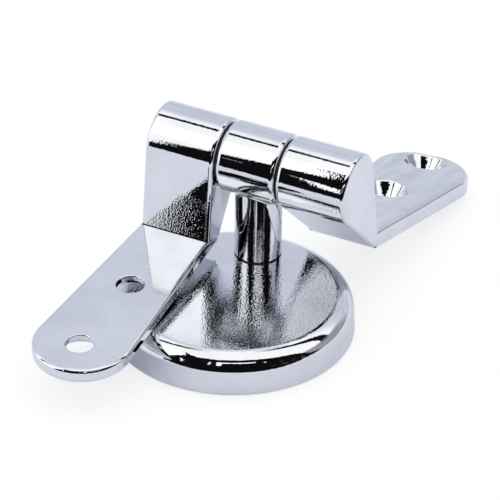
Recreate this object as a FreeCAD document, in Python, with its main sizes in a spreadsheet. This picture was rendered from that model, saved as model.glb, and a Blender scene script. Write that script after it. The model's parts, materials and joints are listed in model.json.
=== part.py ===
import FreeCAD, Part
import Sketcher
import math
import os

# Toilet seat hinge, one of a pair. Millimetres, +Z up, the barrel along X, the front towards -Y.
# The origin is the axis of the fixing bolt in the plane that the base stands on.

DRIVING = {
    # Round base
    "base_diameter": 55.0,
    "base_height": 9.4,
    "base_wall_lean": 0.4,
    "base_rim_width": 3.65,
    "base_rim_depth": 3.4,
    "base_rim_radius": 4.55,
    "base_flat_round": 2.6,
    "base_foot_round": 0.7,
    "base_wall": 2.9,
    "base_top_wall": 3.2,
    "fixing_boss_diameter": 13.0,
    "fixing_hole_diameter": 8.0,
    "fixing_hole_depth": 7.6,
    "pad_thickness": 1.8,
    "pad_clearance": 0.15,
    "pad_ledge": 1.2,
    # Pillar: post and middle knuckle
    "rosette_turn": 7.3,
    "post_edge_margin": 0.9,
    "post_diameter": 10.7,
    "post_foot_chamfer": 0.25,
    "post_top_round": 0.8,
    "spigot_diameter": 7.4,
    "spigot_length": 2.0,
    "spigot_clearance": 0.05,
    "axis_height": 33.0,
    "knuckle_diameter": 16.4,
    "knuckle_edge_round": 1.1,
    "centre_knuckle_length": 14.4,
    # Screw and lock washer under the pillar
    "screw_diameter": 5.0,
    "screw_length": 12.0,
    "screw_tip_chamfer": 0.6,
    "screw_tip_room": 1.0,
    "screw_head_diameter": 9.2,
    "screw_head_height": 2.7,
    "screw_head_round": 0.7,
    "screw_socket_flats": 4.0,
    "screw_socket_depth": 1.6,
    "thread_clearance": 0.02,
    "screw_hole_play": 0.2,
    "washer_diameter": 8.6,
    "washer_thickness": 1.2,
    "washer_split": 0.9,
    # Pin and bushes in the barrel
    "pin_diameter": 6.0,
    "pin_chamfer": 0.5,
    "press_clearance": 0.01,
    "running_clearance": 0.05,
    "pin_end_gap": 0.8,
    "groove_from_end": 1.6,
    "groove_width": 1.2,
    "groove_depth": 0.45,
    "rib_side_play": 0.15,
    "rib_floor_play": 0.12,
    "bush_wall": 1.7,
    "bush_flange_width": 1.7,
    "bush_flange_thickness": 0.8,
    "bush_fit": 0.02,
    "bush_end_gap": 0.3,
    "flange_play": 0.05,
    "seam_gap": 0.5,
    # Both leaves
    "leaf_knuckle_length": 16.8,
    "leaf_end_wall": 4.0,
    "leaf_edge_round": 0.9,
    "screw_hole_diameter": 6.2,
    "countersink_diameter": 10.2,
    "countersink_lip_round": 0.6,
    "leaf_rest_gap": 0.25,
    # Leaf of the seat, lying over the front of the base
    "seat_foot_reach": 11.0,
    "seat_foot_drop": 17.3,
    "seat_heel_inset": 4.9,
    "seat_plate_thickness": 3.4,
    "seat_plate_length": 54.6,
    "seat_end_radius": 11.2,
    "seat_show_round": 1.1,
    "seat_mating_round": 0.9,
    "seat_hole_round": 0.3,
    "seat_sink_depth": 2.1,
    "seat_hole_margin": 9.8,
    "seat_hole_pitch": 23.7,
    # Leaf of the lid, swung back to the floor
    "lid_foot_reach": 15.0,
    "lid_foot_drop": 14.8,
    "lid_heel_inset": 0.3,
    "lid_plate_thickness": 4.1,
    "lid_plate_length": 53.6,
    "lid_end_radius": 11.4,
    "lid_show_round": 1.3,
    "lid_mating_round": 0.5,
    "lid_hole_round": 0.1,
    "lid_sink_depth": 3.5,
    "lid_hole_margin": 5.9,
    "lid_hole_pitch": 22.1,
    "lid_hole_inset": 1.1,
}

DERIVED = {
    "base_shoulder_radius": "base_diameter / 2 - base_wall_lean",
    "base_shoulder_height": "base_height - base_rim_depth",
    "base_flat_radius": "base_shoulder_radius - base_rim_width",
    "eccentricity": "base_flat_radius - post_diameter / 2 - post_edge_margin",
    "pillar_x": "-eccentricity * sin(rosette_turn * 1deg)",
    "pillar_y": "eccentricity * cos(rosette_turn * 1deg)",
    "base_ceiling": "base_height - base_top_wall",
    "screw_seat": "base_ceiling - washer_thickness",
    "bush_bore_radius": "pin_diameter / 2 + running_clearance",
    "bush_radius": "bush_bore_radius + bush_wall",
    "bush_flange_radius": "bush_radius + bush_flange_width",
    "leaf_bore_radius": "bush_radius + bush_fit",
    "flange_recess": "bush_flange_thickness - seam_gap + flange_play",
    "leaf_bore_depth": "leaf_knuckle_length - leaf_end_wall",
    "bush_length": "leaf_bore_depth - bush_end_gap",
    "barrel_side": "centre_knuckle_length / 2 + seam_gap",
    "pin_half": "barrel_side + bush_length - pin_end_gap",
    "groove_far": "pin_half - groove_from_end",
    "groove_near": "groove_far - groove_width",
    "leaf_offset": "barrel_side + leaf_knuckle_length / 2",
    "seat_heel_reach": "seat_foot_reach - seat_heel_inset",
    "seat_sole_drop": "seat_foot_drop + seat_plate_thickness",
    "seat_tip_reach": "seat_foot_reach + seat_plate_length",
    "seat_far_hole": "seat_tip_reach - seat_hole_margin",
    "seat_near_hole": "seat_far_hole - seat_hole_pitch",
    "lid_heel_reach": "lid_foot_reach - lid_heel_inset",
    "lid_sole_drop": "lid_foot_drop + lid_plate_thickness",
    "lid_tip_reach": "lid_foot_reach + lid_plate_length",
    "lid_far_hole": "lid_tip_reach - lid_hole_margin",
    "lid_near_hole": "lid_far_hole - lid_hole_pitch",
    # The underside of the seat plate clears the edge of the base's flat by the rest gap.
    "rim_side": "leaf_offset - pillar_x - seat_end_radius",
    "rim_reach": "pillar_y + sqrt(base_flat_radius ^ 2 - rim_side ^ 2)",
    "rim_drop": "axis_height - base_height",
    "rim_stand": "seat_sole_drop + leaf_rest_gap",
    "seat_tilt": "atan2(rim_drop; rim_reach) - asin(rim_stand / hypot(rim_drop; rim_reach))",
    # The tip of the lid plate clears the floor by the rest gap.
    "tip_height": "axis_height - leaf_rest_gap",
    "tip_slant": "hypot(lid_sole_drop; lid_tip_reach)",
    "lid_tilt": "asin(tip_height / tip_slant) - atan2(lid_sole_drop; lid_tip_reach)",
}

doc = FreeCAD.newDocument("ToiletSeatHinge")
sheet = doc.addObject("Spreadsheet::Sheet", "dims")
nodes = []


def fill_sheet():
    for row, (alias, value) in enumerate(DRIVING.items(), start=1):
        sheet.set("A%d" % row, alias)
        sheet.set("B%d" % row, str(value))
        sheet.setAlias("B%d" % row, alias)
    for row, (alias, formula) in enumerate(DERIVED.items(), start=1):
        sheet.set("D%d" % row, alias)
        sheet.set("E%d" % row, "=" + formula)
        sheet.setAlias("E%d" % row, alias)
    doc.recompute()


def bound(expression):
    """Point every alias in an expression at the sheet."""
    words = []
    word = ""
    for letter in expression + " ":
        if letter.isalnum() or letter == "_":
            word += letter
            continue
        words.append("dims." + word if word in DRIVING or word in DERIVED else word)
        words.append(letter)
        word = ""
    return "".join(words).strip()


def number(expression):
    value = sheet.evalExpression(bound(expression))
    return float(getattr(value, "Value", value))


def new_body(name):
    body = doc.addObject("PartDesign::Body", name)
    body.Label = name
    nodes.append(body)
    return body


def place(body, x="0", y="0", z="0", yaw=0, roll="0"):
    position = "vector(%s; %s; %s)" % (bound(x), bound(y), bound(z))
    body.setExpression("Placement", "placement(%s; rotation(%d; 0; %s))" % (position, yaw, bound(roll)))


def new_sketch(body, name, role, offset="0"):
    sketch = body.newObject("Sketcher::SketchObject", name)
    plane = [feature for feature in body.Origin.OriginFeatures if feature.Role == role]
    sketch.AttachmentSupport = [(plane[0], "")]
    sketch.MapMode = "FlatFace"
    sketch.setExpression(".AttachmentOffset.Base.z", bound(offset))
    return sketch


def hold(sketch, kind, arguments, expression):
    """Add a constraint whose value is an expression on the sheet."""
    index = sketch.addConstraint(Sketcher.Constraint(kind, *arguments, number(expression)))
    sketch.setExpression("Constraints[%d]" % index, bound(expression))


def hold_point(sketch, geometry, point, x, y):
    for kind, axis, expression in (("DistanceX", -2, x), ("DistanceY", -1, y)):
        if expression == "0":
            sketch.addConstraint(Sketcher.Constraint("PointOnObject", geometry, point, axis))
        else:
            hold(sketch, kind, (-1, 1, geometry, point), expression)


def add_polygon(sketch, corners):
    spots = [FreeCAD.Vector(number(x), number(y), 0) for x, y in corners]
    lines = [sketch.addGeometry(Part.LineSegment(spot, spots[(i + 1) % len(spots)]))
             for i, spot in enumerate(spots)]
    for i, line in enumerate(lines):
        following = lines[(i + 1) % len(lines)]
        sketch.addConstraint(Sketcher.Constraint("Coincident", line, 2, following, 1))
        hold_point(sketch, line, 1, *corners[i])


def add_path(sketch, corners):
    """Lines from corner to corner, open at the end."""
    spots = [FreeCAD.Vector(number(x), number(y), 0) for x, y in corners]
    lines = [sketch.addGeometry(Part.LineSegment(*pair)) for pair in zip(spots, spots[1:])]
    for line, following in zip(lines, lines[1:]):
        sketch.addConstraint(Sketcher.Constraint("Coincident", line, 2, following, 1))
    for line, corner in zip(lines, corners):
        hold_point(sketch, line, 1, *corner)
    hold_point(sketch, lines[-1], 2, *corners[-1])
    return lines


def add_circle(sketch, x, y, radius):
    centre = FreeCAD.Vector(number(x), number(y), 0)
    circle = sketch.addGeometry(Part.Circle(centre, FreeCAD.Vector(0, 0, 1), number(radius)))
    hold_point(sketch, circle, 3, x, y)
    hold(sketch, "Radius", (circle,), radius)


def pad(body, name, sketch, length, midplane=False, backwards=False):
    feature = body.newObject("PartDesign::Pad", name)
    feature.Profile = sketch
    feature.setExpression("Length", bound(length))
    feature.Midplane = midplane
    feature.Reversed = backwards
    doc.recompute()
    return feature


def pocket(body, name, sketch, depth=None, backwards=False, taper="0"):
    """A pocket with no depth goes right through, and one with a taper narrows as it goes down."""
    before = body.Shape.Volume
    feature = body.newObject("PartDesign::Pocket", name)
    feature.Profile = sketch
    if depth is None:
        feature.Type = "ThroughAll"
    else:
        feature.setExpression("Length", bound(depth))
        feature.setExpression("TaperAngle", bound(taper))
    feature.Reversed = backwards
    doc.recompute()
    if body.Shape.Volume > before - 1e-6:
        raise RuntimeError(name + " cuts nothing")
    return feature


def revolve(body, name, sketch, axis):
    feature = body.newObject("PartDesign::Revolution", name)
    feature.Profile = sketch
    feature.ReferenceAxis = (sketch, [axis])
    feature.Angle = 360
    doc.recompute()
    return feature


def dress(body, kind, name, size, wanted):
    """Round or bevel the edges of the body that a test picks."""
    base = body.Tip
    edges = ["Edge%d" % (i + 1) for i, edge in enumerate(base.Shape.Edges) if wanted(edge)]
    feature = body.newObject("PartDesign::" + kind, name)
    feature.Base = (base, edges)
    feature.setExpression("Radius" if kind == "Fillet" else "Size", bound(size))
    doc.recompute()
    return feature


def near(a, b):
    return abs(a - b) < 1e-4


def is_circle(edge, radius):
    return isinstance(edge.Curve, Part.Circle) and near(edge.Curve.Radius, number(radius))


def add_arc(sketch, first, last, radius):
    """Put an arc that bulges outwards in place of the straight line between two corners."""
    start, end = (FreeCAD.Vector(number(x), number(y), 0) for x, y in (first, last))
    reach = number(radius)
    chord = end - start
    across = FreeCAD.Vector(chord.y, -chord.x, 0).normalize()
    centre = (start + end) / 2 - across * (reach ** 2 - (chord.Length / 2) ** 2) ** 0.5
    circle = Part.Circle(centre, FreeCAD.Vector(0, 0, 1), reach)
    return sketch.addGeometry(Part.ArcOfCircle(circle, circle.parameter(start), circle.parameter(end)))


def build_base_rosette():
    body = new_body("base_rosette")
    section = new_sketch(body, "RosetteSection", "XZ_Plane")
    shoulder = ("base_shoulder_radius", "base_shoulder_height")
    flat_edge = ("base_flat_radius", "base_height")
    corners = [
        flat_edge,
        ("0", "base_height"),
        ("0", "0"),
        ("fixing_boss_diameter / 2", "0"),
        ("fixing_boss_diameter / 2", "base_ceiling"),
        ("base_diameter / 2 - base_wall - pad_ledge", "base_ceiling"),
        ("base_diameter / 2 - base_wall - pad_ledge", "pad_thickness"),
        ("base_diameter / 2 - base_wall", "pad_thickness"),
        ("base_diameter / 2 - base_wall", "0"),
        ("base_diameter / 2", "0"),
        shoulder,
    ]
    lines = add_path(section, corners)
    rim = add_arc(section, shoulder, flat_edge, "base_rim_radius")
    section.addConstraint(Sketcher.Constraint("Coincident", lines[-1], 2, rim, 1))
    section.addConstraint(Sketcher.Constraint("Coincident", rim, 2, lines[0], 1))
    hold(section, "Radius", (rim,), "base_rim_radius")
    revolve(body, "RosetteShell", section, "V_Axis")
    top = number("base_height")
    dress(body, "Fillet", "RosetteFlatEdge", "base_flat_round",
          lambda edge: is_circle(edge, "base_flat_radius") and near(edge.BoundBox.ZMin, top))
    dress(body, "Fillet", "RosetteFoot", "base_foot_round",
          lambda edge: is_circle(edge, "base_diameter / 2") and near(edge.BoundBox.ZMax, 0))
    fixing = new_sketch(body, "FixingHoleCircle", "XY_Plane")
    add_circle(fixing, "0", "0", "fixing_hole_diameter / 2")
    pocket(body, "FixingHole", fixing, "fixing_hole_depth", backwards=True)
    socket = new_sketch(body, "SpigotSocketCircle", "XY_Plane", "base_height")
    add_circle(socket, "pillar_x", "pillar_y", "spigot_diameter / 2 + spigot_clearance")
    pocket(body, "SpigotSocket", socket, "spigot_length + spigot_clearance")
    passage = new_sketch(body, "ScrewPassageCircle", "XY_Plane", "base_height")
    add_circle(passage, "pillar_x", "pillar_y", "screw_diameter / 2 + screw_hole_play")
    pocket(body, "ScrewPassage", passage)


def build_base_pad():
    body = new_body("base_pad")
    outline = new_sketch(body, "PadOutline", "XY_Plane")
    add_circle(outline, "0", "0", "base_diameter / 2 - base_wall - pad_clearance")
    add_circle(outline, "0", "0", "fixing_boss_diameter / 2 + pad_clearance")
    add_circle(outline, "pillar_x", "pillar_y", "screw_head_diameter / 2 + screw_hole_play")
    pad(body, "Pad", outline, "pad_thickness")


def build_pillar():
    body = new_body("pillar")
    place(body, "pillar_x", "pillar_y", "base_height")
    post = new_sketch(body, "PostCircle", "XY_Plane")
    add_circle(post, "0", "0", "post_diameter / 2")
    pad(body, "Post", post, "axis_height - base_height")
    knuckle = new_sketch(body, "KnuckleCircle", "YZ_Plane")
    add_circle(knuckle, "0", "axis_height - base_height", "knuckle_diameter / 2")
    pad(body, "CentreKnuckle", knuckle, "centre_knuckle_length", midplane=True)
    dress(body, "Fillet", "KnuckleEdges", "knuckle_edge_round",
          lambda edge: is_circle(edge, "knuckle_diameter / 2"))
    dress(body, "Chamfer", "PostFoot", "post_foot_chamfer",
          lambda edge: is_circle(edge, "post_diameter / 2") and near(edge.BoundBox.ZMax, 0))
    dress(body, "Fillet", "PostTop", "post_top_round",
          lambda edge: not isinstance(edge.Curve, (Part.Circle, Part.Line)))
    spigot = new_sketch(body, "SpigotCircle", "XY_Plane")
    add_circle(spigot, "0", "0", "spigot_diameter / 2")
    pad(body, "Spigot", spigot, "spigot_length", backwards=True)
    thread = new_sketch(body, "ThreadCircle", "XY_Plane", "-spigot_length")
    add_circle(thread, "0", "0", "screw_diameter / 2 + thread_clearance")
    reach = "screw_length + screw_tip_room - washer_thickness - base_top_wall"
    pocket(body, "ThreadHole", thread, reach + " + spigot_length", backwards=True)
    bore = new_sketch(body, "PinBoreCircle", "YZ_Plane", "-centre_knuckle_length")
    add_circle(bore, "0", "axis_height - base_height", "pin_diameter / 2 + press_clearance")
    pocket(body, "PinBore", bore, backwards=True)


def build_pillar_screw():
    body = new_body("pillar_screw")
    place(body, "pillar_x", "pillar_y", "screw_seat")
    section = new_sketch(body, "ScrewSection", "XZ_Plane")
    add_polygon(section, [
        ("0", "-screw_head_height"),
        ("screw_head_diameter / 2", "-screw_head_height"),
        ("screw_head_diameter / 2", "0"),
        ("screw_diameter / 2", "0"),
        ("screw_diameter / 2", "screw_length - screw_tip_chamfer"),
        ("screw_diameter / 2 - screw_tip_chamfer", "screw_length"),
        ("0", "screw_length"),
    ])
    revolve(body, "ScrewBlank", section, "V_Axis")
    dress(body, "Fillet", "HeadRound", "screw_head_round",
          lambda edge: is_circle(edge, "screw_head_diameter / 2") and edge.BoundBox.ZMax < 0
          and near(edge.BoundBox.ZMin, number("-screw_head_height")))
    socket = new_sketch(body, "SocketHexagon", "XY_Plane", "-screw_head_height")
    corner = "screw_socket_flats / (2 * cos(30deg))"
    add_polygon(socket, [
        (corner, "0"),
        ("%s / 2" % corner, "screw_socket_flats / 2"),
        ("-%s / 2" % corner, "screw_socket_flats / 2"),
        ("-%s" % corner, "0"),
        ("-%s / 2" % corner, "-screw_socket_flats / 2"),
        ("%s / 2" % corner, "-screw_socket_flats / 2"),
    ])
    pocket(body, "Socket", socket, "screw_socket_depth", backwards=True)


def build_pillar_lock_washer():
    body = new_body("pillar_lock_washer")
    place(body, "pillar_x", "pillar_y", "screw_seat")
    outline = new_sketch(body, "WasherOutline", "XY_Plane")
    add_circle(outline, "0", "0", "washer_diameter / 2")
    add_circle(outline, "0", "0", "screw_diameter / 2 + screw_hole_play")
    pad(body, "Washer", outline, "washer_thickness")
    split = new_sketch(body, "WasherSplit", "XY_Plane")
    add_polygon(split, [
        ("-washer_split / 2", "0"),
        ("washer_split / 2", "0"),
        ("washer_split / 2", "washer_diameter"),
        ("-washer_split / 2", "washer_diameter"),
    ])
    pocket(body, "Split", split, "washer_thickness", backwards=True)


def build_hinge_pin():
    body = new_body("hinge_pin")
    place(body, "pillar_x", "pillar_y", "axis_height")
    section = new_sketch(body, "PinSection", "XY_Plane")
    right_side = [
        ("groove_near", "pin_diameter / 2"),
        ("groove_near", "pin_diameter / 2 - groove_depth"),
        ("groove_far", "pin_diameter / 2 - groove_depth"),
        ("groove_far", "pin_diameter / 2"),
        ("pin_half - pin_chamfer", "pin_diameter / 2"),
        ("pin_half", "pin_diameter / 2 - pin_chamfer"),
        ("pin_half", "0"),
    ]
    left_side = [("-(%s)" % x, y) for x, y in reversed(right_side)]
    add_polygon(section, left_side + right_side)
    revolve(body, "PinBlank", section, "H_Axis")


def build_bush(name, yaw):
    """A bush points away from the middle knuckle along its own +X."""
    body = new_body(name)
    place(body, "pillar_x", "pillar_y", "axis_height", yaw)
    section = new_sketch(body, name + "_section", "XY_Plane")
    rib_radius = "pin_diameter / 2 - groove_depth + rib_floor_play"
    flange_side = "barrel_side - seam_gap + flange_play"
    add_polygon(section, [
        (flange_side, "bush_bore_radius"),
        ("groove_near + rib_side_play", "bush_bore_radius"),
        ("groove_near + rib_side_play", rib_radius),
        ("groove_far - rib_side_play", rib_radius),
        ("groove_far - rib_side_play", "bush_bore_radius"),
        ("barrel_side + bush_length", "bush_bore_radius"),
        ("barrel_side + bush_length", "bush_radius"),
        (flange_side + " + bush_flange_thickness", "bush_radius"),
        (flange_side + " + bush_flange_thickness", "bush_flange_radius"),
        (flange_side, "bush_flange_radius"),
    ])
    revolve(body, name + "_turned", section, "H_Axis")


def tangent_angle(point, radius, side):
    """Angle on a circle about the origin where the line from an outer point touches it."""
    spread = FreeCAD.Vector(radius, (point.Length ** 2 - radius ** 2) ** 0.5, 0)
    x_axis = FreeCAD.Vector(1, 0, 0)
    return side * spread.getAngle(x_axis) - point.getAngle(x_axis)


def add_web_section(sketch, leaf):
    """Knuckle arc with the web face tangent on one side and the sloping back on the other."""
    radius = number("knuckle_diameter / 2")
    foot = FreeCAD.Vector(number(leaf + "_foot_reach"), -number(leaf + "_foot_drop"), 0)
    heel = FreeCAD.Vector(number(leaf + "_heel_reach"), -number(leaf + "_sole_drop"), 0)
    face_angle = tangent_angle(foot, radius, 1)
    back_angle = tangent_angle(heel, radius, -1)
    circle = Part.Circle(FreeCAD.Vector(), FreeCAD.Vector(0, 0, 1), radius)
    arc = sketch.addGeometry(Part.ArcOfCircle(circle, face_angle, back_angle + 2 * math.pi))
    face = sketch.addGeometry(Part.LineSegment(circle.value(face_angle), foot))
    root = sketch.addGeometry(Part.LineSegment(foot, heel))
    slope = sketch.addGeometry(Part.LineSegment(heel, circle.value(back_angle)))
    for kind, arguments in (
            ("Coincident", (arc, 3, -1, 1)),
            ("Tangent", (arc, 1, face, 1)),
            ("Coincident", (face, 2, root, 1)),
            ("Coincident", (root, 2, slope, 1)),
            ("Tangent", (slope, 2, arc, 2))):
        sketch.addConstraint(Sketcher.Constraint(kind, *arguments))
    hold(sketch, "Radius", (arc,), "knuckle_diameter / 2")
    hold_point(sketch, root, 1, leaf + "_foot_reach", "-%s_foot_drop" % leaf)
    hold_point(sketch, root, 2, leaf + "_heel_reach", "-%s_sole_drop" % leaf)


def add_plate_outline(sketch, leaf):
    """Plate seen from above: knuckle width at the heel, flaring to a round end."""
    half = number("leaf_knuckle_length / 2")
    heel = number(leaf + "_heel_reach")
    radius = number(leaf + "_end_radius")
    centre = FreeCAD.Vector(0, number(leaf + "_tip_reach") - radius, 0)
    right = FreeCAD.Vector(half, heel, 0)
    left = FreeCAD.Vector(-half, heel, 0)
    circle = Part.Circle(centre, FreeCAD.Vector(0, 0, 1), radius)
    root = sketch.addGeometry(Part.LineSegment(left, right))
    right_side = sketch.addGeometry(Part.LineSegment(right, circle.value(0)))
    end = sketch.addGeometry(Part.ArcOfCircle(circle, 0, math.pi))
    left_side = sketch.addGeometry(Part.LineSegment(circle.value(math.pi), left))
    for kind, arguments in (
            ("Coincident", (root, 2, right_side, 1)),
            ("Tangent", (right_side, 2, end, 1)),
            ("Tangent", (end, 2, left_side, 1)),
            ("Coincident", (left_side, 2, root, 1)),
            ("Symmetric", (root, 1, root, 2, -2)),
            ("PointOnObject", (end, 3, -2))):
        sketch.addConstraint(Sketcher.Constraint(kind, *arguments))
    hold(sketch, "DistanceX", (root, 1, root, 2), "leaf_knuckle_length")
    hold(sketch, "DistanceY", (-1, 1, root, 2), leaf + "_heel_reach")
    hold(sketch, "Radius", (end,), leaf + "_end_radius")
    hold(sketch, "DistanceY", (-1, 1, end, 3), "{0}_tip_reach - {0}_end_radius".format(leaf))


def build_web(leaf, name):
    """Knuckle and web in the leaf's own frame, rounded along both sides."""
    body = doc.addObject("PartDesign::Body", name)
    section = new_sketch(body, name + "_section", "YZ_Plane")
    add_web_section(section, leaf)
    pad(body, name + "_prism", section, "leaf_knuckle_length", midplane=True)
    half_width = number("leaf_knuckle_length / 2")
    foot_height = -number(leaf + "_foot_drop")

    def is_cast_edge(edge):
        box = edge.BoundBox
        on_side = near(box.XLength, 0) and near(abs(box.XMin), half_width)
        return on_side and box.ZMax > foot_height + number("leaf_edge_round")

    dress(body, "Fillet", name + "_cast_edges", "leaf_edge_round", is_cast_edge)
    return body


def build_leaf(leaf, x, yaw, show_face, mating_face, hole_side):
    """A leaf's own frame has the pin along X, the plate towards +Y and its bore open at -X."""
    name = leaf + "_leaf"
    body = new_body(name)
    place(body, x, "pillar_y", "axis_height", yaw, "-%s_tilt" % leaf)
    outline = new_sketch(body, name + "_outline", "XY_Plane", "-%s_foot_drop" % leaf)
    add_plate_outline(outline, leaf)
    pad(body, name + "_plate", outline, leaf + "_plate_thickness", backwards=True)
    heel_reach = number(leaf + "_heel_reach")

    def is_rim_edge(height):
        def test(edge):
            box = edge.BoundBox
            flat = near(box.ZMin, number(height)) and near(box.ZMax, number(height))
            return flat and not near(box.YMax, heel_reach)
        return test

    dress(body, "Fillet", name + "_show_edges", leaf + "_show_round", is_rim_edge(show_face))
    dress(body, "Fillet", name + "_mating_edges", leaf + "_mating_round", is_rim_edge(mating_face))
    fuse = body.newObject("PartDesign::Boolean", name + "_whole")
    fuse.setObjects([build_web(leaf, name + "_web")])
    fuse.Type = "Fuse"
    doc.recompute()
    holes = new_sketch(body, name + "_hole_circles", "XY_Plane", "-%s_foot_drop" % leaf)
    sinks = new_sketch(body, name + "_sink_circles", "XY_Plane", show_face)
    for hole in ("near", "far"):
        along = "%s_%s_hole" % (leaf, hole)
        add_circle(holes, hole_side, along, "screw_hole_diameter / 2")
        add_circle(sinks, hole_side, along, "countersink_diameter / 2")
    pocket(body, name + "_holes", holes)
    mating_height = number(mating_face)
    dress(body, "Fillet", name + "_hole_edges", leaf + "_hole_round",
          lambda edge: is_circle(edge, "screw_hole_diameter / 2") and near(edge.BoundBox.ZMin, mating_height)
          and near(edge.BoundBox.ZMax, mating_height))
    from_below = number(show_face) < number(mating_face)
    slope = "-atan2(countersink_diameter - screw_hole_diameter; 2 * %s_sink_depth)" % leaf
    pocket(body, name + "_sinks", sinks, leaf + "_sink_depth", backwards=from_below, taper=slope)
    show_height = number(show_face)
    dress(body, "Fillet", name + "_sink_lips", "countersink_lip_round",
          lambda edge: is_circle(edge, "countersink_diameter / 2") and near(edge.BoundBox.ZMax, show_height))
    for cut, radius, depth in (
            ("recess", "bush_flange_radius + bush_fit", "flange_recess"),
            ("bore", "leaf_bore_radius", "leaf_bore_depth")):
        circle = new_sketch(body, "%s_%s_circle" % (name, cut), "YZ_Plane", "-leaf_knuckle_length / 2")
        add_circle(circle, "0", "0", radius)
        pocket(body, "%s_%s" % (name, cut), circle, depth, backwards=True)


def check_document():
    doc.recompute()
    for item in doc.Objects:
        if "Invalid" in item.State or "Error" in item.State:
            raise RuntimeError("%s failed: %s" % (item.Label, item.State))
    for body in nodes:
        if body.Shape.isNull() or not body.Shape.isValid():
            raise RuntimeError(body.Label + " has no valid shape")


fill_sheet()
build_base_rosette()
build_base_pad()
build_pillar()
build_pillar_screw()
build_pillar_lock_washer()
build_hinge_pin()
build_bush("seat_leaf_bush", 180)
build_bush("lid_leaf_bush", 0)
build_leaf("seat", "pillar_x - leaf_offset", 180, "-seat_sole_drop", "-seat_foot_drop", "0")
build_leaf("lid", "pillar_x + leaf_offset", 0, "-lid_foot_drop", "-lid_sole_drop", "-lid_hole_inset")
check_document()
os.makedirs("parts", exist_ok=True)
for node in nodes:
    node.Shape.exportStep("parts/%s.step" % node.Label)
    print("%-20s %d solid, %8.1f mm3" % (node.Label, len(node.Shape.Solids), node.Shape.Volume))
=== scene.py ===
import json
import math
import bpy
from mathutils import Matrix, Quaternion, Vector


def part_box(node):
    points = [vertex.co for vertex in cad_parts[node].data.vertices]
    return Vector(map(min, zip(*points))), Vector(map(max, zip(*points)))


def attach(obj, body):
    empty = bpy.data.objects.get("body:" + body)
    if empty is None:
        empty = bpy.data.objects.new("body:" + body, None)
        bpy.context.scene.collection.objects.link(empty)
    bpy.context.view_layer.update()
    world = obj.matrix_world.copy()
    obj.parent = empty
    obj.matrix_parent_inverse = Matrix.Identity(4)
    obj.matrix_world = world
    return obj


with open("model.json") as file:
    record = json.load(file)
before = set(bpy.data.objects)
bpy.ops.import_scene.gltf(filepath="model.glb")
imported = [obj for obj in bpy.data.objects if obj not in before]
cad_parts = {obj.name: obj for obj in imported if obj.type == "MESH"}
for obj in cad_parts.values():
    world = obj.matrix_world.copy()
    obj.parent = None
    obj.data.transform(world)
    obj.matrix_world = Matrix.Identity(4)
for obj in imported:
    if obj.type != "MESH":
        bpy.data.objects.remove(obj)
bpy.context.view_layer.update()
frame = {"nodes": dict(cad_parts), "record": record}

scene = bpy.context.scene
scene.view_settings.view_transform = "Standard"
mm = 0.001
sideward = Vector((1, 0, 0))
backward = Vector((0, 1, 0))
upward = Vector((0, 0, 1))
anywhere = (-1.0, 1.0)   # metres, past the hinge on both sides
evenly = (1.0, 1.0, 1.0)


# one socket of a node tree, so that shader maths reads as plain sums
class Flow:
    def __init__(self, tree, socket=None):
        self.tree = tree
        self.socket = socket

    # any node: its settings come first, then the values or links of its sockets
    def node(self, kind, settings=None, sockets=None, out=0):
        made = self.tree.nodes.new("ShaderNode" + kind)
        for name, value in (settings or {}).items():
            if name == "stops":
                fillRamp(made.color_ramp, value)
            else:
                setattr(made, name, value)
        for name, value in (sockets or {}).items():
            if isinstance(value, Flow):
                self.tree.links.new(value.socket, made.inputs[name])
            else:
                made.inputs[name].default_value = value
        return Flow(self.tree, made.outputs[out]) if made.outputs else None

    def maths(self, operation, first, second=0.0):
        return self.node("Math", {"operation": operation}, {0: first, 1: second})

    def __add__(self, other):
        return self.maths("ADD", self, other)

    __radd__ = __add__

    def __sub__(self, other):
        return self.maths("SUBTRACT", self, other)

    def __rsub__(self, other):
        return self.maths("SUBTRACT", other, self)

    def __mul__(self, other):
        return self.maths("MULTIPLY", self, other)

    __rmul__ = __mul__

    def __truediv__(self, other):
        return self.maths("DIVIDE", self, other)

    def __rtruediv__(self, other):
        return self.maths("DIVIDE", other, self)

    def size(self):
        return self.maths("ABSOLUTE", self)

    def most(self, other):
        return self.maths("MAXIMUM", self, other)

    # 0 up to low, 1 from high, smooth between
    def rise(self, low, high):
        return self.node("MapRange", {"interpolation_type": "SMOOTHSTEP"}, {0: self, 1: low, 2: high})

    # 1 within half a width of the middle, soft at both edges
    def band(self, middle, width, soft):
        return 1 - (self - middle).size().rise(width / 2 - soft / 2, width / 2 + soft / 2)

    # 1 inside a box, fading outside its faces
    def within(self, box, fade):
        inside = 1.0
        for direction, (low, high) in zip((sideward, backward, upward), box):
            place = self.along(direction)
            inside = inside * place.rise(low - fade, low) * (1 - place.rise(high, high + fade))
        return inside

    def along(self, direction):
        return self.node("VectorMath", {"operation": "DOT_PRODUCT"}, {0: self, 1: direction}, out="Value")

    def scaled(self, factors):
        return self.node("VectorMath", {"operation": "MULTIPLY"}, {0: self, 1: factors})

    # distance from the upright axis of the base
    def radius(self):
        level = self.scaled((1, 1, 0))
        return self.node("VectorMath", {"operation": "LENGTH"}, {0: level}, out="Value")

    def mix(self, factor, first, second):
        return self.node("Mix", {"data_type": "RGBA"}, {0: factor, 6: first, 7: second}, out=2)

    def noise(self, grainSize, detail, roughness=0.5):
        return self.node("TexNoise", {}, {"Vector": self, "Scale": 1 / grainSize, "Detail": detail,
                                          "Roughness": roughness})

    # small cones about scattered points
    def pits(self, size):
        return self.node("TexVoronoi", {}, {"Vector": self, "Scale": 1 / size})

    def waves(self, size):
        return self.noise(size, 1.0)


def fillRamp(ramp, stops):
    while len(ramp.elements) < len(stops):
        ramp.elements.new(1.0)
    for element, (place, colour) in zip(ramp.elements, stops):
        element.position = place
        element.color = colour


def rgba(colour):
    return (*colour, 1.0)


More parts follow.
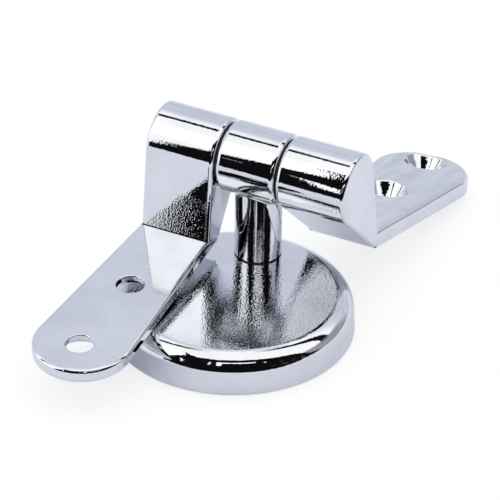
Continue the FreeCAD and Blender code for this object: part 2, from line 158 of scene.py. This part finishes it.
def newMaterial(name):
    material = bpy.data.materials.new(name)
    material.use_nodes = True
    material.node_tree.nodes.clear()
    return material, Flow(material.node_tree)


def closeMaterial(flow, surface):
    flow.node("OutputMaterial", {}, {"Surface": surface})


# the camera stands where the photograph was taken from
cameraPlace = dict(azimuth=25.98, elevation=33.17, roll=1.0, distance=0.9915, lens=324.0,
                   aim=(0.00418, 0.0, 0.02148))


def placeCamera(place):
    turn = math.radians(place["azimuth"])
    lift = math.radians(place["elevation"])
    roll = math.radians(place["roll"])
    back = Vector((math.sin(turn) * math.cos(lift), -math.cos(turn) * math.cos(lift), math.sin(lift)))
    data = bpy.data.cameras.new("photoCamera")
    data.lens = place["lens"]
    camera = bpy.data.objects.new("photoCamera", data)
    camera.rotation_mode = "QUATERNION"
    camera.rotation_quaternion = Quaternion(back, roll) @ back.to_track_quat("Z", "Y")
    camera.location = Vector(place["aim"]) + back * place["distance"]
    scene.collection.objects.link(camera)
    scene.camera = camera
    return Vector((back.x, back.y, 0)).normalized()


tentAxis = placeCamera(cameraPlace)          # level, from the hinge towards the camera
tentSide = upward.cross(tentAxis)            # level, to the right as the camera sees it
print("camera: placed")


# a pale light tent: white roof and sides, a soft box at the upper left, a lavender back with folds
# and a thin dark seam where roof and back meet; lengths are shares of a ray's unit direction
tent = dict(background=(1.0, 1.0, 1.0), fillLow=(0.28, 0.28, 0.29), fillHigh=(1.22, 1.22, 1.24),
            panel=(1.36, 1.355, 1.34), sideStart=0.88, sideEnd=0.96,
            softBox=(1.74, 1.74, 1.74), softBoxAim=(-0.58, 0.34, 0.74), softBoxStart=0.94, softBoxEnd=0.985,
            backTop=(1.31, 1.31, 1.34), backUpper=(0.93, 0.95, 1.06), back=(0.70, 0.73, 0.84),
            backTopEnd=0.18, backUpperAt=0.32, backAt=0.5,
            foldPale=(0.85, 0.88, 1.00), foldSize=0.11, foldDetail=2.0, foldLow=0.4, foldHigh=0.65,
            foldStart=0.3, foldFull=0.5,
            right=(0.42, 0.43, 0.47), rightStart=0.72, rightEnd=0.86, rightFade=0.4, rightTop=0.5,
            seam=(0.01, 0.01, 0.012), seamSlope=0.317, seamWidth=0.12, seamSoft=0.02,
            seamLow=0.3, seamHigh=0.5, seamSpread=0.05,
            spreadStart=0.1, spreadEnd=0.5, seamGap=0.36, seamFade=0.2)


def lightTent(look):
    world = bpy.data.worlds.new("lightTent")
    world.use_nodes = True
    world.node_tree.nodes.clear()
    flow = Flow(world.node_tree)
    ray = flow.node("TexCoord", out="Generated")
    height = ray.along(upward)
    across = ray.along(tentSide)
    pastSeam = 0 - (ray.along(tentAxis) + look["seamSlope"] * height)
    # back wall, darker downwards, with paler folds low on it
    stops = [(0.0, rgba(look["backTop"])), (look["backTopEnd"], rgba(look["backTop"])),
             (look["backUpperAt"], rgba(look["backUpper"])), (look["backAt"], rgba(look["back"]))]
    backColour = flow.node("ValToRGB", {"stops": stops}, {0: pastSeam})
    folds = ray.noise(look["foldSize"], look["foldDetail"]).rise(look["foldLow"], look["foldHigh"])
    folds = folds * pastSeam.rise(look["foldStart"], look["foldFull"])
    backColour = flow.mix(folds, backColour, rgba(look["foldPale"]))
    # roof, front and sides
    sides = across.size().rise(look["sideStart"], look["sideEnd"])
    front = 1 - pastSeam.rise(0.0, look["seamSoft"])
    panels = flow.mix(front.most(sides), backColour, rgba(look["panel"]))
    toRight, ahead, above = look["softBoxAim"]
    aim = (tentSide * toRight + tentAxis * ahead + upward * above).normalized()
    softBox = ray.along(aim).rise(look["softBoxStart"], look["softBoxEnd"])
    panels = flow.mix(softBox, panels, rgba(look["softBox"]))
    right = across.rise(look["rightStart"], look["rightEnd"])
    right = right * (1 - height.rise(look["rightFade"], look["rightTop"]))
    panels = flow.mix(right, panels, rgba(look["right"]))
    # seam, wider to the right and open in the middle
    seamWidth = look["seamWidth"] + look["seamSpread"] * across.rise(look["spreadStart"], look["spreadEnd"])
    seam = pastSeam.band(0.0, seamWidth, look["seamSoft"]) * height.rise(look["seamLow"], look["seamHigh"])
    seam = seam * (1 - across.band(0.0, look["seamGap"], look["seamFade"]))
    reflected = flow.mix(seam, panels, rgba(look["seam"]))
    fill = flow.mix(height.rise(0.0, 1.0), rgba(look["fillLow"]), rgba(look["fillHigh"]))
    lit = flow.mix(flow.node("LightPath", out="Is Glossy Ray"), fill, reflected)
    shown = flow.mix(flow.node("LightPath", out="Is Camera Ray"), lit, rgba(look["background"]))
    background = flow.node("Background", {}, {"Color": shown})
    flow.node("OutputWorld", {}, {"Surface": background})
    scene.world = world


lightTent(tent)

# the tent's dark front opening and white strips in it, flags that only mirrors see
# outlines are (to the right, up) in metres; the far flag carries the opening on for the lid leaf
opening = dict(distance=0.130, dark=(0.006, 0.006, 0.007),
               warm=(0.14, 0.07, 0.045), warmSize=0.035, warmDetail=4.0, warmLow=0.5, warmHigh=0.65,
               warmFrom=0.06, warmFull=0.12, warmFade=0.08, warmTop=0.10,
               outline=[(-0.214, 0.0), (1.4, 0.0), (1.4, 0.05), (0.40, 0.09), (0.26, 0.215), (-0.05, 0.205),
                        (-0.08, 0.235), (-0.11, 0.235), (-0.125, 0.28), (-0.145, 0.31), (-0.175, 0.36),
                        (-0.225, 0.48), (-0.30, 0.66), (-0.33, 0.72), (-0.352, 0.72), (-0.34, 0.685),
                        (-0.281, 0.541), (-0.24, 0.446), (-0.199, 0.341), (-0.183, 0.298),
                        (-0.172, 0.264), (-0.16, 0.223), (-0.176, 0.155), (-0.1915, 0.10),
                        (-0.187, 0.075), (-0.20, 0.04)],
               farDistance=0.40, farOutline=[(-0.16, 0.30), (0.43, 0.30), (0.43, 0.568), (-0.16, 0.550)])
strip = dict(distance=0.1295, white=(1.5, 1.5, 1.5),
             outlines=[[(-0.029, 0.066), (-0.021, 0.063), (-0.018, 0.105), (0.020, 0.105), (0.040, 0.103),
                        (0.054, 0.112), (0.056, 0.128), (0.0, 0.124), (-0.020, 0.126), (-0.029, 0.122)],
                       [(0.074, 0.099), (0.079, 0.099), (0.079, 0.110), (0.074, 0.110)],
                       [(-0.047, 0.070), (-0.043, 0.070), (-0.044, 0.115), (-0.047, 0.118)],
                       [(-0.136, 0.112), (-0.136, 0.106), (-0.131, 0.095), (-0.1265, 0.079),
                        (-0.1195, 0.055), (-0.114, 0.052), (-0.1145, 0.084), (-0.1195, 0.097),
                        (-0.1265, 0.103), (-0.131, 0.107)],
                       [(-0.164, 0.098), (-0.162, 0.098), (-0.162, 0.106), (-0.164, 0.106)]])


def tentFlag(name, distance, outline, material):
    points = [tentAxis * distance + tentSide * across + upward * height for across, height in outline]
    mesh = bpy.data.meshes.new(name)
    mesh.from_pydata(points, [], [range(len(points))])
    mesh.materials.append(material)
    flag = bpy.data.objects.new(name, mesh)
    flag.visible_camera = False
    flag.visible_diffuse = False
    flag.visible_shadow = False
    flag.visible_transmission = False
    scene.collection.objects.link(flag)


# nearly black, with warm patches low on the right
def openingDark(look):
    material, flow = newMaterial("openingDark")
    place = flow.node("TexCoord", out="Object")
    warmth = place.noise(look["warmSize"], look["warmDetail"]).rise(look["warmLow"], look["warmHigh"])
    warmth = warmth * place.along(tentSide).rise(look["warmFrom"], look["warmFull"])
    warmth = warmth * (1 - place.along(upward).rise(look["warmFade"], look["warmTop"]))
    colour = flow.mix(warmth, rgba(look["dark"]), rgba(look["warm"]))
    closeMaterial(flow, flow.node("Emission", {}, {"Color": colour}))
    return material


def stripWhite(look):
    material, flow = newMaterial("stripWhite")
    closeMaterial(flow, flow.node("Emission", {}, {"Color": rgba(look["white"])}))
    return material


darkCloth = openingDark(opening)
tentFlag("tent_opening", opening["distance"], opening["outline"], darkCloth)
tentFlag("tent_opening_far", opening["farDistance"], opening["farOutline"], darkCloth)
whiteCloth = stripWhite(strip)
for number, outline in enumerate(strip["outlines"]):
    tentFlag("tent_strip_%d" % number, strip["distance"], outline, whiteCloth)
print("studio: light tent")


# pale floor: white to the camera, pale lavender in the chrome, clear from below
floorLook = dict(half=3.0, drop=0.0002, white=(0.3, 0.3, 0.3), glow=0.745,
                 tint=(0.90, 0.925, 1.0), tintGlow=0.10)


def paleFloor(look):
    half = look["half"]
    level = -look["drop"]
    corners = [(-half, -half, level), (half, -half, level), (half, half, level), (-half, half, level)]
    mesh = bpy.data.meshes.new("pale_floor")
    mesh.from_pydata(corners, [], [range(len(corners))])
    material, flow = newMaterial("paleFloor")
    white = flow.node("BsdfDiffuse", {}, {"Color": rgba(look["white"])})
    glow = flow.node("Emission", {}, {"Strength": look["glow"]})
    seen = flow.node("AddShader", {}, {0: white, 1: glow})
    tint = flow.node("BsdfDiffuse", {}, {"Color": rgba(look["tint"])})
    tintGlow = flow.node("Emission", {}, {"Color": rgba(look["tint"]), "Strength": look["tintGlow"]})
    mirrored = flow.node("AddShader", {}, {0: tint, 1: tintGlow})
    camera = flow.node("LightPath", out="Is Camera Ray")
    top = flow.node("MixShader", {}, {0: camera, 1: mirrored, 2: seen})
    below = flow.node("NewGeometry", out="Backfacing")
    clear = flow.node("BsdfTransparent")
    closeMaterial(flow, flow.node("MixShader", {}, {0: below, 1: top, 2: clear}))
    mesh.materials.append(material)
    floor = bpy.data.objects.new("pale_floor", mesh)
    scene.collection.objects.link(floor)


paleFloor(floorLook)
print("studio: floor")


# height in metres goes through a bump node, then the surface is closed
def surfaceOf(flow, tone, metallic, rough, height):
    bump = flow.node("Bump", {}, {"Strength": 1.0, "Distance": 1.0, "Height": height})
    surface = flow.node("BsdfPrincipled", {}, {"Base Color": tone, "Metallic": metallic,
                                               "Roughness": rough, "Normal": bump})
    closeMaterial(flow, surface)


# bright chrome over a zinc casting, with a slight orange peel everywhere
chromeLook = dict(bright=(0.70, 0.713, 0.74), dull=(0.65, 0.663, 0.69), smooth=0.015, hazed=0.045,
                  clouds=9 * mm, cloudDetail=4.0, cloudLow=0.35, cloudHigh=0.7,
                  peelSize=0.55 * mm, peelDetail=1.0, peelDepth=0.007 * mm,
                  grainSize=0.22 * mm, grainDetail=2.0, grainRough=0.6, grainDepth=0.0008 * mm)

# what single pieces add: the grain of the flat and of the web, lines down the post, waves in the lid leaf
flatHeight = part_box("base_rosette")[1].z
grainedTop = dict(zone=(anywhere, anywhere, (flatHeight - 0.01 * mm, 1.0)), fade=0.06 * mm,
                  pattern=Flow.pits, stretch=evenly, size=0.46 * mm, depth=0.016 * mm)
grainedWeb = dict(zone=(anywhere, (6 * mm, 1.0), (-1.0, 25 * mm)), fade=1.0 * mm,
                  pattern=Flow.pits, stretch=evenly, size=0.42 * mm, depth=0.009 * mm)
postLines = dict(zone=(anywhere, anywhere, (-1.0, 24 * mm)), fade=1.0 * mm, pattern=Flow.waves,
                 stretch=(1.0, 1.0, 0.03), size=0.55 * mm, depth=0.014 * mm)
lidWave = dict(zone=(anywhere, (32 * mm, 1.0), anywhere), fade=4.0 * mm, pattern=Flow.waves,
               stretch=(1.0, 0.12, 1.0), size=4.5 * mm, depth=0.16 * mm)

# thin rough plating on the cast underside of the base
castHollow = dict(radius=24.65 * mm, height=7.7 * mm, edge=0.06 * mm, tone=(0.55, 0.555, 0.57), rough=0.30,
                  size=0.5 * mm, detail=4.0, grainRough=0.6, depth=0.025 * mm)

# painted shade: a dark tone in the seam under the post and along the inner corner of the seat leaf, where
# shade falls
postSeamShade = dict(zone=(anywhere, anywhere, (-1.0, flatHeight + 0.32 * mm)), fade=0.12 * mm,
                tone=(0.05, 0.05, 0.055))
cornerSeamShade = dict(zone=(anywhere, (7.05 * mm, 7.6 * mm), (14.85 * mm, 15.17 * mm)), fade=0.1 * mm,
                  tone=(0.05, 0.05, 0.055))


def chromePlate(name, look, relief=None, hollow=None, seam=None):
    material, flow = newMaterial(name)
    place = flow.node("TexCoord", out="Object")
    cloud = place.noise(look["clouds"], look["cloudDetail"]).rise(look["cloudLow"], look["cloudHigh"])
    tone = flow.mix(cloud, rgba(look["bright"]), rgba(look["dull"]))
    rough = look["smooth"] + (look["hazed"] - look["smooth"]) * cloud
    height = look["peelDepth"] * place.noise(look["peelSize"], look["peelDetail"])
    grain = place.noise(look["grainSize"], look["grainDetail"], look["grainRough"])
    height = height + look["grainDepth"] * grain
    if relief:
        inside = place.within(relief["zone"], relief["fade"])
        pattern = relief["pattern"](place.scaled(relief["stretch"]), relief["size"])
        height = height + inside * relief["depth"] * pattern
    if hollow:
        edge = hollow["edge"]
        inside = 1 - place.radius().rise(hollow["radius"] - edge, hollow["radius"] + edge)
        inside = inside * (1 - place.along(upward).rise(hollow["height"] - edge, hollow["height"]))
        tone = flow.mix(inside, tone, rgba(hollow["tone"]))
        rough = rough + inside * hollow["rough"]
        castGrain = place.noise(hollow["size"], hollow["detail"], hollow["grainRough"])
        height = height + inside * hollow["depth"] * castGrain
    if seam:
        # painted shade: the seam zone is mixed to a dark tone in the chrome's colour
        tone = flow.mix(place.within(seam["zone"], seam["fade"]), tone, rgba(seam["tone"]))
    surfaceOf(flow, tone, 1.0, rough, height)
    return material


# steel of the hidden screw, washer and pin
zincSteel = dict(bright=(0.68, 0.69, 0.70), dull=(0.52, 0.52, 0.50), smooth=0.22, worn=0.42,
                 patch=1.2 * mm, patchDetail=5.0, patchLow=0.35, patchHigh=0.65,
                 lines=(60.0, 60.0, 9.0), lineSize=10 * mm, lineDetail=2.0, lineDepth=0.004 * mm)
groundSteel = dict(bright=(0.63, 0.63, 0.64), dull=(0.50, 0.50, 0.50), smooth=0.14, worn=0.26,
                   patch=3.0 * mm, patchDetail=5.0, patchLow=0.35, patchHigh=0.65,
                   lines=(400.0, 4.0, 4.0), lineSize=40 * mm, lineDetail=2.0, lineDepth=0.003 * mm)


def plainSteel(name, look):
    material, flow = newMaterial(name)
    place = flow.node("TexCoord", out="Object")
    patch = place.noise(look["patch"], look["patchDetail"]).rise(look["patchLow"], look["patchHigh"])
    tone = flow.mix(patch, rgba(look["bright"]), rgba(look["dull"]))
    rough = look["smooth"] + (look["worn"] - look["smooth"]) * patch
    lines = place.scaled(look["lines"]).noise(look["lineSize"], look["lineDetail"])
    surfaceOf(flow, tone, 1.0, rough, look["lineDepth"] * lines)
    return material


# black nylon of the bushes and black rubber of the pad
bushNylon = dict(pale=(0.055, 0.055, 0.06), deep=(0.035, 0.035, 0.04), smooth=0.38, worn=0.5,
                 patch=2.0 * mm, patchDetail=5.0, patchLow=0.3, patchHigh=0.7,
                 grain=0.25 * mm, grainDetail=3.0, grainDepth=0.006 * mm)
padRubber = dict(pale=(0.075, 0.075, 0.08), deep=(0.045, 0.045, 0.05), smooth=0.62, worn=0.8,
                 patch=4.0 * mm, patchDetail=5.0, patchLow=0.3, patchHigh=0.7,
                 grain=0.35 * mm, grainDetail=3.0, grainDepth=0.03 * mm)


def moulded(name, look):
    material, flow = newMaterial(name)
    place = flow.node("TexCoord", out="Object")
    patch = place.noise(look["patch"], look["patchDetail"]).rise(look["patchLow"], look["patchHigh"])
    tone = flow.mix(patch, rgba(look["pale"]), rgba(look["deep"]))
    rough = look["smooth"] + (look["worn"] - look["smooth"]) * patch
    grain = place.noise(look["grain"], look["grainDetail"])
    surfaceOf(flow, tone, 0.0, rough, look["grainDepth"] * grain)
    return material


def dress(material, *names):
    for name in names:
        slots = frame["nodes"][name].data.materials
        slots.clear()
        slots.append(material)


rosetteChrome = chromePlate("rosetteChrome", chromeLook, grainedTop, castHollow)
dress(rosetteChrome, "base_rosette")
dress(chromePlate("pillarChrome", chromeLook, postLines, seam=postSeamShade), "pillar")
dress(chromePlate("seatChrome", chromeLook, grainedWeb, seam=cornerSeamShade), "seat_leaf")
dress(chromePlate("lidChrome", chromeLook, lidWave), "lid_leaf")
dress(plainSteel("zincSteel", zincSteel), "pillar_screw", "pillar_lock_washer")
dress(plainSteel("groundSteel", groundSteel), "hinge_pin")
dress(moulded("bushNylon", bushNylon), "seat_leaf_bush", "lid_leaf_bush")
dress(moulded("padRubber", padRubber), "base_pad")
print("materials: on all nodes")

# thread of the fixing hole, a helical ridge on its plain wall
fixingHole = next(mount for mount in frame["record"]["mounts"] if mount["name"] == "fixing_bolt")["dims"]
thread = dict(wall=fixingHole["r_mm"] * mm, depth=fixingHole["length_mm"] * mm, entry=0.9 * mm,
              pitch=1.25 * mm, height=0.65 * mm, bedded=0.03 * mm, rootWidth=1.08 * mm, crestWidth=0.3 * mm,
              steps=72, runOut=0.35)


def threadRidge(look):
    turns = (look["depth"] - 2 * look["entry"]) / look["pitch"]
    steps = int(turns * look["steps"])
    lastTurn = steps / look["steps"]
    root = look["wall"] + look["bedded"]
    points = []
    for step in range(steps + 1):
        turn = step / look["steps"]
        grown = min(1.0, turn / look["runOut"], (lastTurn - turn) / look["runOut"])
        crest = root - grown * (look["height"] + look["bedded"])
        middle = look["entry"] + turn * look["pitch"]
        angle = turn * math.tau
        profile = [(root, -look["rootWidth"]), (crest, -look["crestWidth"]),
                   (crest, look["crestWidth"]), (root, look["rootWidth"])]
        for radius, width in profile:
            points.append((radius * math.cos(angle), radius * math.sin(angle), middle + width / 2))
    row = len(profile)
    faces = []
    for step in range(steps):
        for side in range(row - 1):
            corner = row * step + side
            faces.append((corner, corner + 1, corner + row + 1, corner + row))
    mesh = bpy.data.meshes.new("fixing_thread")
    mesh.from_pydata(points, [], faces)
    mesh.materials.append(rosetteChrome)
    ridge = bpy.data.objects.new("fixing_thread", mesh)
    scene.collection.objects.link(ridge)
    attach(ridge, "base")


threadRidge(thread)
print("thread: cut in the fixing hole")
